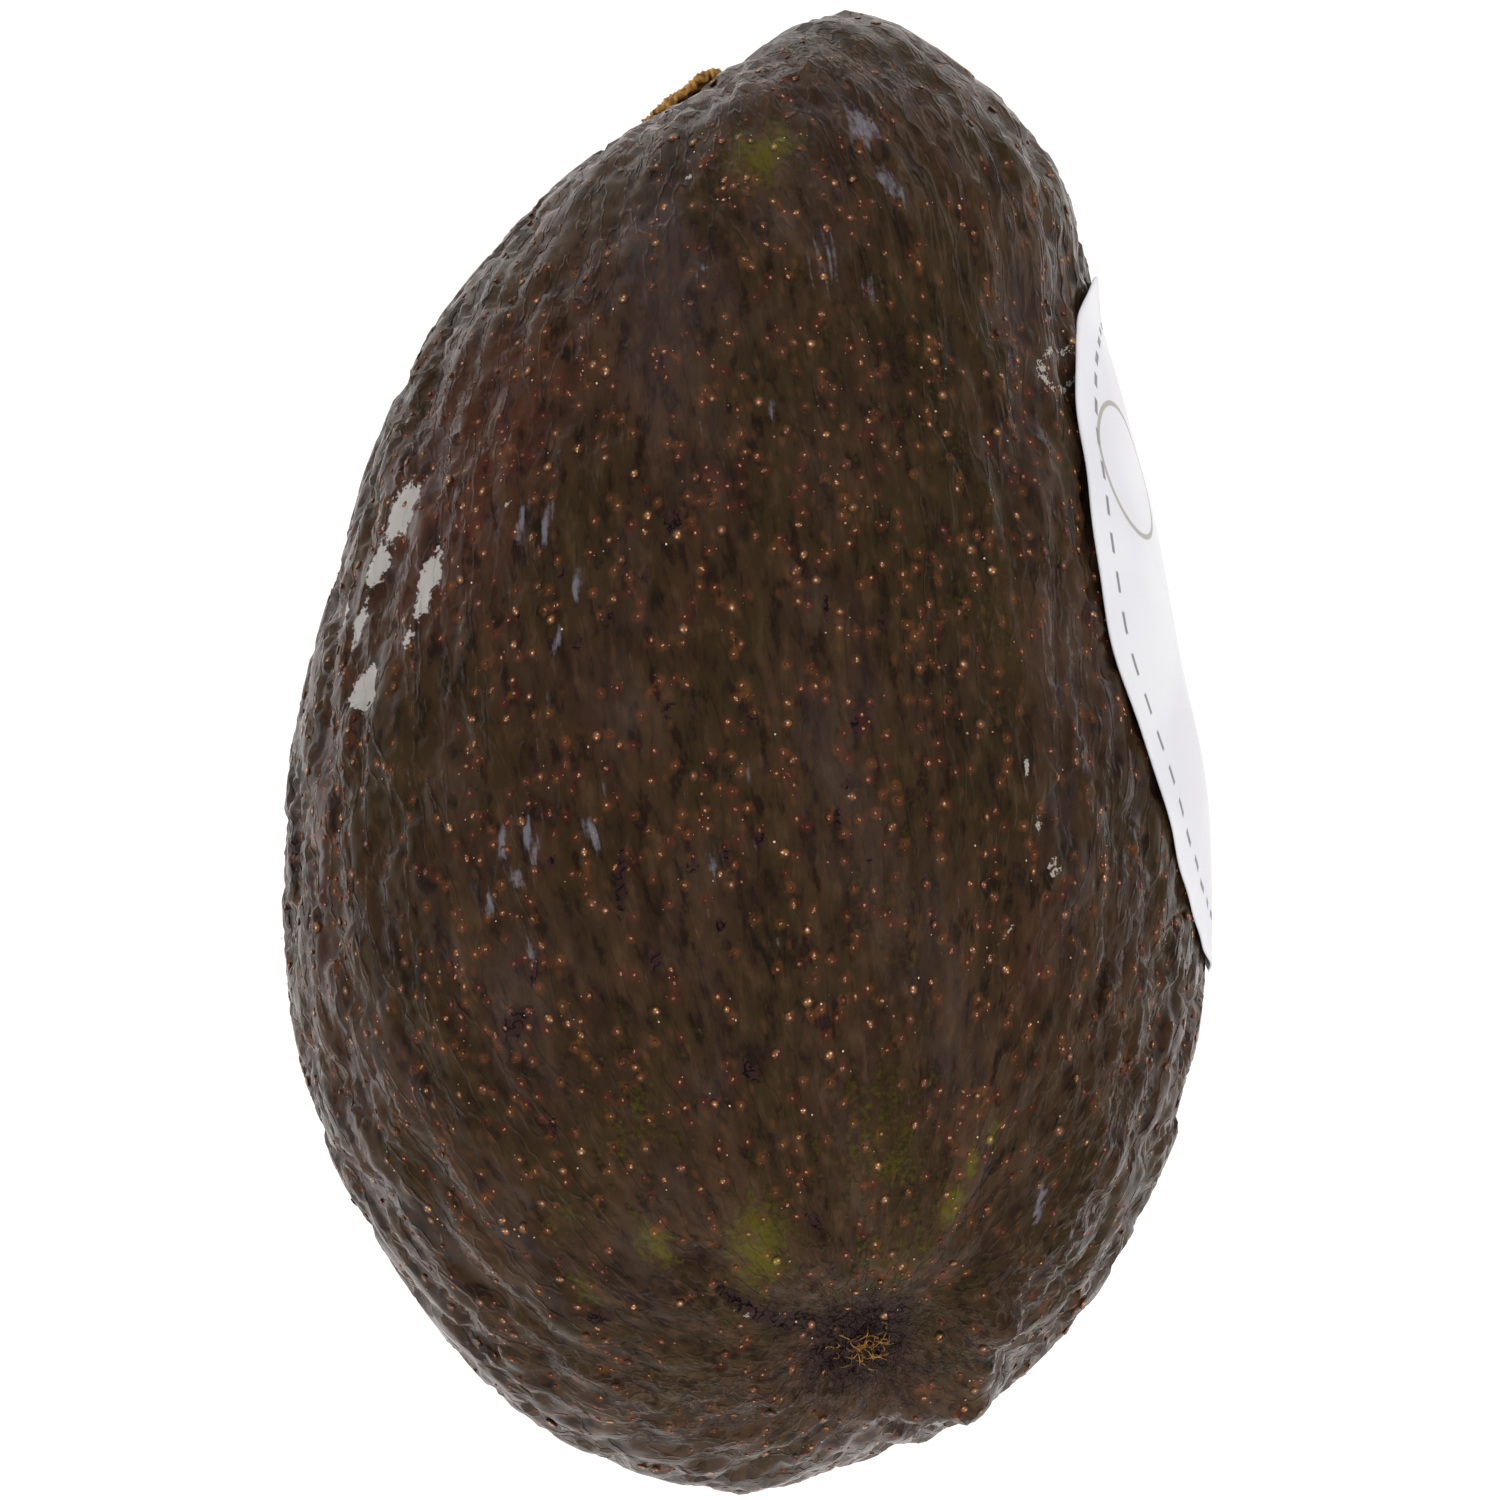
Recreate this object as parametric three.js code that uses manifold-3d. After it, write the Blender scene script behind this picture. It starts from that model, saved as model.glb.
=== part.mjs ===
// A ripe, dark-skinned avocado lying on its side: the whole fruit with its pebbled skin,
// the corky stem button in its seat, and a plain oval paper label on one flank.
//
// Millimetres, +Z up. The fruit is shaped about its own core with +Y towards the stem end,
// then laid down with its neck a little low, on a small flat spot under its centre of mass.
import * as THREE from "three";
import { ConvexHull } from "three/addons/math/ConvexHull.js";
import { mergeVertices } from "three/addons/utils/BufferGeometryUtils.js";
import Module from "manifold-3d";

// Driving dimensions
const NECK_DROOP = THREE.MathUtils.degToRad(4.5); // the neck end lies this much lower than level
const FLAT_DEPTH = 0.5; // height of the rounded belly that is flat where the fruit rests
const FLAT_RADIUS = 14; // pebbles die away within this distance of the flat spot's middle

// The fruit seen from above: [right of the core, towards the stem] going round from the stem end
const PLAN_OUTLINE = [
  [0, 54.3], [7.3, 57.8], [16, 53.4], [22.9, 45.3], [24.7, 39], [25.4, 34], [28.3, 23.8],
  [30.8, 11.5], [32.9, 1], [33.1, -11], [30.2, -26.5], [24, -37.4], [15.4, -45.2], [7.5, -48.6],
  [-0.8, -50.2], [-14.2, -46.8], [-25, -35.6], [-32.5, -18.3], [-33.6, -3.5], [-30, 16.3],
  [-21.3, 36.3], [-11.8, 46.4], [-5.4, 50.6],
];

// The fruit seen from its side: [above the core, towards the stem] going round from the stem end
const SIDE_OUTLINE = [
  [0, 54.3], [12, 50.5], [19.8, 41.5], [26.8, 26], [31.2, 8], [32.5, -8], [30.4, -23],
  [24.8, -36], [15.6, -44.8], [0, -50.6], [-14.5, -45.2], [-25, -33.5], [-31, -18], [-32.8, -3],
  [-30.7, 14], [-26, 30], [-18.5, 43], [-9.5, 51],
];

// Skin relief: pebbles about twice life size, each a rounded crest with a shoulder round it
const PEBBLES = 650;
const PEBBLE_SPREAD = 1.3; // pebbles are longer along the fruit than round it
const PEBBLE_SHAKE = 0.38; // share of the spacing that each pebble is moved off its even place
const PEBBLE_HEIGHT = [0.2, 0.6]; // lowest and highest crest above the skin's mean surface
const SHOULDER = { out: 0.58, rise: 0.74 }; // shares of the way to the groove and of the whole rise
const GROOVE_DEPTH = 0.5;
const RANDOM_SEED = 20;

// Stem seat and button, on the slope left of the neck's summit
const STEM = { x: -4.3, along: 51.9, above: -2.2 };
const SEAT_RADIUS = 6.2;
const SEAT_DEPTH = 1;
const BUTTON_RADIUS = 3.3;
const BUTTON_OVALITY = 1.1;
const BUTTON_PROUD = 2.1; // above the floor of the seat
const BUTTON_WEAR = 0.5; // how much lower its rim has worn than its middle
const BUTTON_ROUGHNESS = 0.2;

// Blossom end: the dried scar lies in a hollow, with folds of skin running out of it
const SCAR = [8.8, -39.8]; // seen from above, from the core
const HOLLOW_RADIUS = 10.5;
const HOLLOW_DEPTH = 1.9;
// Each fold runs between two places seen from above; a negative height is a furrow
const FOLDS = [
  { from: [2, -42.5], to: [15.6, -43.4], height: 0.8, width: 1.9 },
  { from: [15.6, -43.4], to: [17.4, -37], height: 0.9, width: 2 },
  { from: [17.4, -37], to: [25.5, -25.5], height: 0.7, width: 2.2 },
  { from: [12.5, -39], to: [18, -27.5], height: -0.5, width: 2 },
  { from: [7, -39.4], to: [-3.6, -33.5], height: -0.8, width: 1.8 },
  { from: [22, -4.5], to: [11, -24], height: 0.4, width: 2.4 },
  { from: [-23.5, -27.5], to: [-13.5, -42], height: -0.5, width: 2 },
  { from: [-23.8, 23.5], to: [-27.4, 8], height: -0.5, width: 2 },
  { from: [-2.5, 51.5], to: [13, 52.5], height: -0.45, width: 1.6 },
];

// Paper label
const LABEL = { along: 14, turn: THREE.MathUtils.degToRad(2), length: 51.7, width: 34 };
const LABEL_THICKNESS = 0.6;
const LABEL_PRESS = 0.7; // how much of their height the pebbles lose under the label
const GAP = 0.3; // clear space between two pieces that touch

// A repeatable stream of numbers from 0 to 1
function randomStream(seed) {
  let state = seed >>> 0;
  return () => {
    state = (state + 0x6d2b79f5) >>> 0;
    let mixed = Math.imul(state ^ (state >>> 15), 1 | state);
    mixed = (mixed + Math.imul(mixed ^ (mixed >>> 7), 61 | mixed)) ^ mixed;
    return ((mixed ^ (mixed >>> 14)) >>> 0) / 2 ** 32;
  };
}

// The radius of a closed outline at any angle from its stem end, as a smooth curve through its points
function outlineRadius(points) {
  const knots = points
    .map(([across, along]) => ({ angle: Math.atan2(across, along), radius: Math.hypot(across, along) }))
    .sort((a, b) => a.angle - b.angle);
  const knot = (i) => {
    const turns = Math.floor(i / knots.length);
    const { angle, radius } = knots[i - turns * knots.length];
    return { angle: angle + turns * 2 * Math.PI, radius };
  };
  const slope = (i) =>
    (knot(i + 1).radius - knot(i - 1).radius) / (knot(i + 1).angle - knot(i - 1).angle);
  return (angle) => {
    let i = knots.findLastIndex((k) => k.angle <= angle);
    const [a, b] = [knot(i), knot(i + 1)];
    const span = b.angle - a.angle;
    const t = (angle - a.angle) / span;
    const [t2, t3] = [t * t, t * t * t];
    return (
      (2 * t3 - 3 * t2 + 1) * a.radius +
      (t3 - 2 * t2 + t) * span * slope(i) +
      (3 * t2 - 2 * t3) * b.radius +
      (t3 - t2) * span * slope(i + 1)
    );
  };
}

const planRadius = outlineRadius(PLAN_OUTLINE);
const sideRadius = outlineRadius(SIDE_OUTLINE);

// The smooth body: both outlines share the stem axis, and between them the radius turns as a cosine
function bodyPoint(direction) {
  const fromStem = Math.acos(THREE.MathUtils.clamp(direction.y, -1, 1));
  const round = Math.atan2(direction.z, direction.x);
  const [right, left] = [planRadius(fromStem), planRadius(-fromStem)];
  const [top, bottom] = [sideRadius(fromStem), sideRadius(-fromStem)];
  const radius =
    (right + left + top + bottom) / 4 +
    ((right - left) / 2) * Math.cos(round) +
    ((top - bottom) / 2) * Math.sin(round) +
    ((right + left - top - bottom) / 4) * Math.cos(2 * round);
  return direction.clone().multiplyScalar(radius);
}

const droop = new THREE.Quaternion().setFromAxisAngle(new THREE.Vector3(1, 0, 0), -NECK_DROOP);
const unDroop = droop.clone().invert();

// The point of the smooth body that is seen from above at x and y, both from the core
function seenFromAbove([x, y]) {
  const reach = Math.hypot(x, y);
  let [low, high] = [0, Math.PI / 2];
  let point;
  for (let step = 0; step < 40; step += 1) {
    const rise = (low + high) / 2;
    const flat = Math.cos(rise) / reach;
    const direction = new THREE.Vector3(x * flat, y * flat, Math.sin(rise));
    point = bodyPoint(direction.applyQuaternion(unDroop));
    const lying = point.clone().applyQuaternion(droop);
    if (Math.hypot(lying.x, lying.y) > reach) low = rise;
    else high = rise;
  }
  return point;
}

// 1 at the middle, falling smoothly to 0 at the rim
const hollowShape = (share) => (share < 1 ? (1 - share * share) ** 2 : 0);

// Two level directions across a direction, for laying something out round it
function acrossDirections(direction) {
  const alongFruit = new THREE.Vector3(0, 1, 0).projectOnPlane(direction);
  if (alongFruit.length() < 0.2) alongFruit.set(1, 0, 0).projectOnPlane(direction);
  alongFruit.normalize();
  return [new THREE.Vector3().crossVectors(alongFruit, direction).normalize(), alongFruit];
}

const labelDirection = new THREE.Vector3(Math.cos(LABEL.turn), 0, Math.sin(LABEL.turn))
  .multiplyScalar(planRadius(Math.PI / 2))
  .setY(LABEL.along)
  .normalize();
const labelPoint = bodyPoint(labelDirection);
const [labelAcross, labelAlong] = acrossDirections(labelDirection);
const stemPoint = bodyPoint(new THREE.Vector3(STEM.x, STEM.along, STEM.above).normalize());
const restPoint = bodyPoint(new THREE.Vector3(0, 0, -1).applyQuaternion(unDroop));
const scarPoint = seenFromAbove(SCAR);
const folds = FOLDS.map(({ from, to, height, width }) => ({
  line: new THREE.Line3(seenFromAbove(from), seenFromAbove(to)),
  height,
  width,
}));

// The body with its seat, blossom hollow and folds, but no pebbles
function skinPoint(direction) {
  const point = bodyPoint(direction);
  const nearest = new THREE.Vector3();
  let raised =
    -SEAT_DEPTH * hollowShape(point.distanceTo(stemPoint) / SEAT_RADIUS) -
    HOLLOW_DEPTH * hollowShape(point.distanceTo(scarPoint) / HOLLOW_RADIUS);
  for (const { line, height, width } of folds) {
    line.closestPointToPoint(point, true, nearest);
    raised += height * Math.exp(-((nearest.distanceTo(point) / width) ** 2));
  }
  return point.addScaledVector(direction, raised);
}

// The outward normal of a surface given as a function of direction
function normalOf(surface, direction) {
  const step = 0.02;
  const [across, along] = acrossDirections(direction);
  const beside = (way, sign) =>
    surface(direction.clone().addScaledVector(way, sign * step).normalize());
  const first = beside(across, 1).sub(beside(across, -1));
  const second = beside(along, 1).sub(beside(along, -1));
  return first.cross(second).normalize();
}

const wasm = await Module();
wasm.setup();

// A three.js geometry as a solid that can be cut
function solidOf(geometry) {
  const bare = geometry.clone();
  bare.deleteAttribute("normal");
  bare.deleteAttribute("uv");
  const merged = mergeVertices(bare, 1e-4);
  const vertProperties = new Float32Array(merged.attributes.position.array);
  const triVerts = new Uint32Array(merged.index.array);
  return new wasm.Manifold(new wasm.Mesh({ numProp: 3, vertProperties, triVerts }));
}

// A cut solid as a flat-shaded three.js geometry
function geometryOf(solid) {
  const { vertProperties, triVerts } = solid.getMesh();
  const geometry = new THREE.BufferGeometry();
  geometry.setAttribute("position", new THREE.BufferAttribute(new Float32Array(vertProperties), 3));
  geometry.setIndex(new THREE.BufferAttribute(new Uint32Array(triVerts), 1));
  const facets = geometry.toNonIndexed();
  facets.computeVertexNormals();
  return facets;
}

function indexedGeometry(points, triangles) {
  const geometry = new THREE.BufferGeometry().setFromPoints(points);
  geometry.setIndex(triangles);
  return geometry;
}

// Directions spread evenly by the golden angle, then shaken, one for each pebble
function pebbleDirections() {
  const random = randomStream(RANDOM_SEED);
  const goldenAngle = Math.PI * (3 - Math.sqrt(5));
  const spacing = Math.sqrt((4 * Math.PI) / PEBBLES);
  const shake = () => (random() * 2 - 1) * spacing * PEBBLE_SHAKE;
  return Array.from({ length: PEBBLES }, (_, i) => {
    const y = 1 - (2 * i + 1) / PEBBLES;
    const ring = Math.sqrt(1 - y * y);
    const even = new THREE.Vector3(
      ring * Math.cos(i * goldenAngle), y, ring * Math.sin(i * goldenAngle));
    return even.add(new THREE.Vector3(shake(), shake(), shake())).normalize();
  });
}

// 1 under the label, falling to 0 just outside it
function underLabel(point) {
  const offset = point.clone().sub(labelPoint);
  const share = Math.hypot(
    offset.dot(labelAcross) / (LABEL.width / 2),
    offset.dot(labelAlong) / (LABEL.length / 2),
    offset.dot(labelDirection) / LABEL.length,
  );
  return 1 - THREE.MathUtils.smoothstep(share, 1.05, 1.25);
}

// How far pebbles rise at a point: they die away in both hollows and where the fruit rests
function pebbleStrength(point) {
  const bySeat = hollowShape(point.distanceTo(stemPoint) / (SEAT_RADIUS * 1.3));
  const byScar = hollowShape(point.distanceTo(scarPoint) / HOLLOW_RADIUS);
  const byRest = hollowShape(point.distanceTo(restPoint) / FLAT_RADIUS);
  return 1 - Math.max(bySeat, 0.8 * byScar, byRest, LABEL_PRESS * underLabel(point));
}

// The pebbled skin. The crests' convex hull says which pebbles are neighbours: three of them meet
// in a groove at the middle of each hull face, and each has a shoulder on its way down to it.
function pebbledBody() {
  const random = randomStream(RANDOM_SEED + 1);
  const crests = pebbleDirections();
  const rises = crests.map(() => THREE.MathUtils.lerp(...PEBBLE_HEIGHT, random()));
  const number = new Map(crests.map((crest, i) => [crest, i]));
  const points = [];
  const addPoint = (way, height) => {
    const direction = new THREE.Vector3(way.x, way.y * PEBBLE_SPREAD, way.z).normalize();
    const point = skinPoint(direction);
    return points.push(point.addScaledVector(direction, height * pebbleStrength(point))) - 1;
  };
  crests.forEach((crest, i) => addPoint(crest, rises[i]));
  const corners = new Map();
  for (const face of new ConvexHull().setFromPoints(crests).faces) {
    const meeting = [face.edge.prev, face.edge, face.edge.next].map((edge) => edge.head().point);
    const middle = meeting[0].clone().add(meeting[1]).add(meeting[2]).normalize();
    const groove = addPoint(middle, -GROOVE_DEPTH);
    const shoulders = meeting.map((crest) => {
      const rise = THREE.MathUtils.lerp(-GROOVE_DEPTH, rises[number.get(crest)], SHOULDER.rise);
      return addPoint(crest.clone().lerp(middle, SHOULDER.out), rise);
    });
    meeting.forEach((crest, i) => {
      const [a, b] = [number.get(crest), number.get(meeting[(i + 1) % 3])];
      corners.set(`${a} ${b}`, { groove, shoulder: shoulders[i], farShoulder: shoulders[(i + 1) % 3] });
    });
  }
  const triangles = [];
  for (const [key, left] of corners) {
    const [a, b] = key.split(" ").map(Number);
    const right = corners.get(`${b} ${a}`);
    triangles.push(a, right.farShoulder, left.shoulder);
    triangles.push(right.farShoulder, right.groove, left.groove);
    triangles.push(right.farShoulder, left.groove, left.shoulder);
  }
  return indexedGeometry(points, triangles);
}

// The direction from the core of the place reached by walking over a surface
function walk(surface, start, way, distance) {
  const steps = Math.ceil(Math.abs(distance) / 2);
  let direction = start;
  for (let i = 0; i < steps; i += 1) {
    const level = way.clone().projectOnPlane(normalOf(surface, direction)).normalize();
    direction = surface(direction).addScaledVector(level, distance / steps).normalize();
  }
  return direction;
}

// A piece that lies on the skin: an oval sheet whose two faces follow a surface at given heights
function ovalOnSkin({ surface, centre, halfWidth, halfLength, rings, segments, under, over }) {
  const [across, along] = acrossDirections(centre);
  const [points, triangles] = [[], []];
  const addFace = (rise, turnedOver) => {
    const start = points.length;
    for (let ring = 0; ring <= rings; ring += 1) {
      for (let i = 0; i < (ring ? segments : 1); i += 1) {
        const angle = (i / segments) * 2 * Math.PI;
        const share = ring / rings;
        const spine = walk(surface, centre, along, Math.sin(angle) * share * halfLength);
        const direction = walk(surface, spine, across, Math.cos(angle) * share * halfWidth);
        points.push(surface(direction).addScaledVector(normalOf(surface, direction), rise(share)));
      }
    }
    const at = (ring, i) => start + (ring ? 1 + (ring - 1) * segments + (i % segments) : 0);
    for (let ring = 0; ring < rings; ring += 1) {
      for (let i = 0; i < segments; i += 1) {
        const quad = [at(ring, i), at(ring + 1, i), at(ring + 1, i + 1), at(ring, i + 1)];
        if (turnedOver) quad.reverse();
        const [a, b, c, d] = quad;
        if (a !== b && b !== c) triangles.push(a, b, c);
        if (c !== d && d !== a) triangles.push(a, c, d);
      }
    }
    return (i) => at(rings, i);
  };
  const lower = addFace(under, true);
  const upper = addFace(over, false);
  for (let i = 0; i < segments; i += 1) {
    triangles.push(lower(i), lower(i + 1), upper(i + 1));
    triangles.push(lower(i), upper(i + 1), upper(i));
  }
  return indexedGeometry(points, triangles);
}

// The table as a solid block whose top is FLAT_DEPTH above the belly's lowest point
function tableUnder(geometry) {
  const side = 200;
  const lying = geometry.clone().applyQuaternion(droop);
  lying.computeBoundingBox();
  const top = lying.boundingBox.min.z + FLAT_DEPTH;
  const block = new THREE.BoxGeometry(side, side, side);
  block.translate(0, 0, top - side / 2);
  return block.applyQuaternion(unDroop);
}

function fruit() {
  const body = pebbledBody();
  const rested = solidOf(body).subtract(solidOf(tableUnder(body)));
  const skin = new THREE.MeshStandardMaterial({ color: 0x3a2a20, roughness: 0.45, metalness: 0 });
  return named("fruit", geometryOf(rested), skin);
}

// The dried stump of the stalk, a rough corky disc sitting in the seat
function stemButton() {
  const random = randomStream(RANDOM_SEED + 2);
  const geometry = ovalOnSkin({
    surface: skinPoint,
    centre: stemPoint.clone().normalize(),
    halfWidth: BUTTON_RADIUS,
    halfLength: BUTTON_RADIUS * BUTTON_OVALITY,
    rings: 6,
    segments: 22,
    under: () => GAP + BUTTON_ROUGHNESS,
    over: (share) =>
      BUTTON_PROUD - BUTTON_WEAR * share ** 3 + THREE.MathUtils.lerp(-1, 1, random()) * BUTTON_ROUGHNESS,
  });
  const cork = new THREE.MeshStandardMaterial({ color: 0xa1733a, roughness: 0.95, metalness: 0 });
  return named("stem_button", geometry, cork);
}

// A plain oval paper label on the right flank
function label() {
  const clear = PEBBLE_HEIGHT[1] * (1 - LABEL_PRESS) + GAP;
  const geometry = ovalOnSkin({
    surface: skinPoint,
    centre: labelDirection,
    halfWidth: LABEL.width / 2,
    halfLength: LABEL.length / 2,
    rings: 7,
    segments: 36,
    under: () => clear,
    over: () => clear + LABEL_THICKNESS,
  });
  const paper = new THREE.MeshStandardMaterial({ color: 0xe6e5ea, roughness: 0.6, metalness: 0 });
  return named("label", geometry, paper);
}

function named(name, geometry, material) {
  const mesh = new THREE.Mesh(geometry, material);
  mesh.name = name;
  return mesh;
}

const lyingFruit = new THREE.Group();
lyingFruit.quaternion.copy(droop);
lyingFruit.add(fruit(), stemButton(), label());

// The origin is under the middle of the whole part, on the surface that it rests on
const box = new THREE.Box3().setFromObject(lyingFruit, true);
const middle = box.getCenter(new THREE.Vector3());
lyingFruit.position.set(-middle.x, -middle.y, -box.min.z);

const avocado = new THREE.Group();
avocado.add(lyingFruit);
export default avocado;
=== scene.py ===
import math

import bpy
import numpy as np
from mathutils import Matrix, Vector
from mathutils.bvhtree import BVHTree


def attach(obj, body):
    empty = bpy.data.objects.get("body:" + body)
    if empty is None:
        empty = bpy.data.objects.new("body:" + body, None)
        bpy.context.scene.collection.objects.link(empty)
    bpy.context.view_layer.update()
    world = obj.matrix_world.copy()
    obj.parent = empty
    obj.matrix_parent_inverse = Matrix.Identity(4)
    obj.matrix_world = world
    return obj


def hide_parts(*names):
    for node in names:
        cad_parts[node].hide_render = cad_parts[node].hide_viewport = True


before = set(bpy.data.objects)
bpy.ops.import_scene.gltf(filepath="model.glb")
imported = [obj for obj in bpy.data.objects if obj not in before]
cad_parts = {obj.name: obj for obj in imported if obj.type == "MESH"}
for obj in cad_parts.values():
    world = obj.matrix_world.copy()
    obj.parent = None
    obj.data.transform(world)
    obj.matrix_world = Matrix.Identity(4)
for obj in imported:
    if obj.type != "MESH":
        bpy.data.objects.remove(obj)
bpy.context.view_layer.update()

# Fruit
# The whole avocado, grown as one piece and lying on its side with its neck towards +Y. Its thick
# dark skin is raised in pebbles and creased towards both ends. The body follows two outlines, and
# one geometry tree raises the pebbles and creases on it and sows the lenticels over them.
MM = 0.001
CORE_PLACE = np.array((-0.14, -3.63, 32.21)) * MM
NECK_DROOP = math.radians(4.5)
SKIN_GRID = 128  # four-sided faces along each side of the six sheets that make the skin
# Round the fruit from the stem end: [right of the core or above it, towards the stem], in mm
PLAN_OUTLINE = [
    [0, 54.2], [7.3, 57.6], [16, 53.3], [22.9, 45.3], [24.7, 39], [25.4, 34], [28.3, 23.8],
    [30.8, 11.5], [32.9, 1], [33.1, -11], [30.2, -26.5], [24, -37.4], [15.4, -45.2], [7.5, -48.2],
    [-0.8, -49.9], [-13.8, -46.4], [-24.7, -35.3], [-32.5, -18.3], [-33.6, -3.5], [-30, 16.3],
    [-21.3, 36.3], [-11.8, 46.4], [-5.4, 50.6],
]
SIDE_OUTLINE = [
    [0, 54.3], [12, 50.5], [19.8, 41.5], [26.8, 26], [31.2, 8], [32.5, -8], [30.4, -23],
    [24.8, -36], [15.6, -44.8], [0, -50.6], [-14.5, -45.2], [-25, -33.5], [-31, -18], [-32.8, -3],
    [-30.7, 14], [-26, 30], [-18.5, 43], [-9.5, 51],
]
STEM_WAY = np.array((-4.3, 51.9, -2.2))
SEAT_RADIUS, SEAT_DEPTH = 6.2 * MM, 1 * MM
SCAR_SEEN = (8.8, -39.8)  # seen from above, from the core, in mm
HOLLOW_RADIUS, HOLLOW_DEPTH = 10.5 * MM, 1.9 * MM
# Folds of skin, seen from above from the core in mm: from, to, height, width
FOLDS = [
    ((2, -42.5), (15.6, -43.4), 0.95, 1.9),
    ((15.6, -43.4), (17.4, -37), 1.1, 2),
    ((17.4, -37), (25.5, -25.5), 0.9, 2.2),
    ((12.5, -39), (18, -27.5), -0.5, 2),
    ((7, -39.4), (-3.6, -33.5), -0.8, 1.8),
    ((22, -4.5), (11, -24), 0.4, 2.4),
    ((-23.5, -27.5), (-13.5, -42), -0.5, 2),
    ((-23.8, 23.5), (-27.4, 8), -0.5, 2),
    ((-2.5, 51.5), (13, 52.5), -0.45, 1.6),
]
laid_down = np.array(Matrix.Rotation(-NECK_DROOP, 3, "X"))


def unit(vectors):
    return vectors / np.linalg.norm(vectors, axis=-1, keepdims=True)


def outline_radius(points):
    """The radius of a closed outline at any angle from its stem end, smooth through its points."""
    across, along = np.array(points).T * MM
    order = np.argsort(np.arctan2(across, along))
    turn = 2 * math.pi
    angles = np.arctan2(across, along)[order]
    angles = np.concatenate([angles - turn, angles, angles + turn])
    radii = np.tile(np.hypot(across, along)[order], 3)
    slopes = np.gradient(radii)
    slopes[1:-1] = (radii[2:] - radii[:-2]) / (angles[2:] - angles[:-2])

    def radius(angle):
        i = np.searchsorted(angles, angle, side="right") - 1
        span = angles[i + 1] - angles[i]
        t = (angle - angles[i]) / span
        return (
            (2 * t**3 - 3 * t**2 + 1) * radii[i]
            + (t**3 - 2 * t**2 + t) * span * slopes[i]
            + (3 * t**2 - 2 * t**3) * radii[i + 1]
            + (t**3 - t**2) * span * slopes[i + 1]
        )

    return radius


plan_radius = outline_radius(PLAN_OUTLINE)
side_radius = outline_radius(SIDE_OUTLINE)


def body_points(ways):
    """The smooth body in each direction from its core: between the outlines it turns as a cosine."""
    from_stem = np.arccos(np.clip(ways[:, 1], -1, 1))
    turned = np.arctan2(ways[:, 2], ways[:, 0])
    right, left = plan_radius(from_stem), plan_radius(-from_stem)
    top, bottom = side_radius(from_stem), side_radius(-from_stem)
    radius = (right + left + top + bottom) / 4
    radius += (right - left) / 2 * np.cos(turned) + (top - bottom) / 2 * np.sin(turned)
    radius += (right + left - top - bottom) / 4 * np.cos(2 * turned)
    return ways * radius[:, None]


def seen_from_above(x, y):
    """The point of the smooth body that is seen from above at x and y from the core, in mm."""
    reach = math.hypot(x, y)
    low, high = 0, math.pi / 2
    for _ in range(40):
        rise = (low + high) / 2
        level = math.cos(rise) / reach
        way = np.array([[x * level, y * level, math.sin(rise)]]) @ laid_down
        point = body_points(way)[0]
        if math.hypot(*(laid_down @ point)[:2]) > reach * MM:
            low = rise
        else:
            high = rise
    return point


def hollow(distance, radius):
    """1 at the middle of a hollow, falling smoothly to 0 at its rim."""
    return np.clip(1 - (distance / radius) ** 2, 0, 1) ** 2


def from_line(points, start, end):
    """How far each point is from the straight line between two places."""
    run = end - start
    share = np.clip((points - start) @ run / (run @ run), 0, 1)
    return np.linalg.norm(points - start - share[:, None] * run, axis=1)


stem_place = body_points(unit(STEM_WAY)[None])[0]
scar_place = seen_from_above(*SCAR_SEEN)
fold_lines = [(seen_from_above(*a), seen_from_above(*b), h * MM, w * MM) for a, b, h, w in FOLDS]


def smooth_skin(ways):
    """The body with its stem seat, blossom hollow and folds, but no pebbles."""
    points = body_points(ways)
    raised = -SEAT_DEPTH * hollow(np.linalg.norm(points - stem_place, axis=1), SEAT_RADIUS)
    raised -= HOLLOW_DEPTH * hollow(np.linalg.norm(points - scar_place, axis=1), HOLLOW_RADIUS)
    for start, end, height, width in fold_lines:
        raised += height * np.exp(-((from_line(points, start, end) / width) ** 2))
    return points + ways * raised[:, None]


def in_frame(points):
    """Points given from the core, laid down and moved to where the fruit lies."""
    return points @ laid_down.T + CORE_PLACE


def sheets(grid):
    """Even directions over a sphere, as six square sheets, and their four-sided faces."""
    side = np.tan(np.linspace(-1, 1, grid + 1) * math.pi / 4)
    u, v = np.meshgrid(side, side, indexing="ij")
    one = np.ones_like(u)
    faces = [(one, u, v), (-one, v, u), (v, one, u), (u, -one, v), (u, v, one), (v, u, -one)]
    points = np.concatenate([np.stack(face, -1).reshape(-1, 3) for face in faces])
    corner = np.arange(grid)[:, None] * (grid + 1) + np.arange(grid)
    quad = np.stack([corner, corner + grid + 1, corner + grid + 2, corner + 1], -1).reshape(-1, 4)
    quads = np.concatenate([quad + sheet * (grid + 1) ** 2 for sheet in range(6)])
    _, first, merged = np.unique(np.round(points, 6), axis=0, return_index=True, return_inverse=True)
    return unit(points[first]), merged.reshape(-1)[quads]


def make_piece(name, points, faces):
    """A smooth-shaded object with its place in its mesh."""
    mesh = bpy.data.meshes.new(name)
    mesh.from_pydata(np.asarray(points).tolist(), [], [list(face) for face in faces])
    mesh.polygons.foreach_set("use_smooth", [True] * len(mesh.polygons))
    piece = bpy.data.objects.new(name, mesh)
    bpy.context.scene.collection.objects.link(piece)
    return piece


ways, quads = sheets(SKIN_GRID)
core_points = smooth_skin(ways)
skin_points = in_frame(core_points)
base = make_piece("skin_base", skin_points, quads)
skin_normals = np.array([corner.vector[:] for corner in base.data.vertex_normals])

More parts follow.
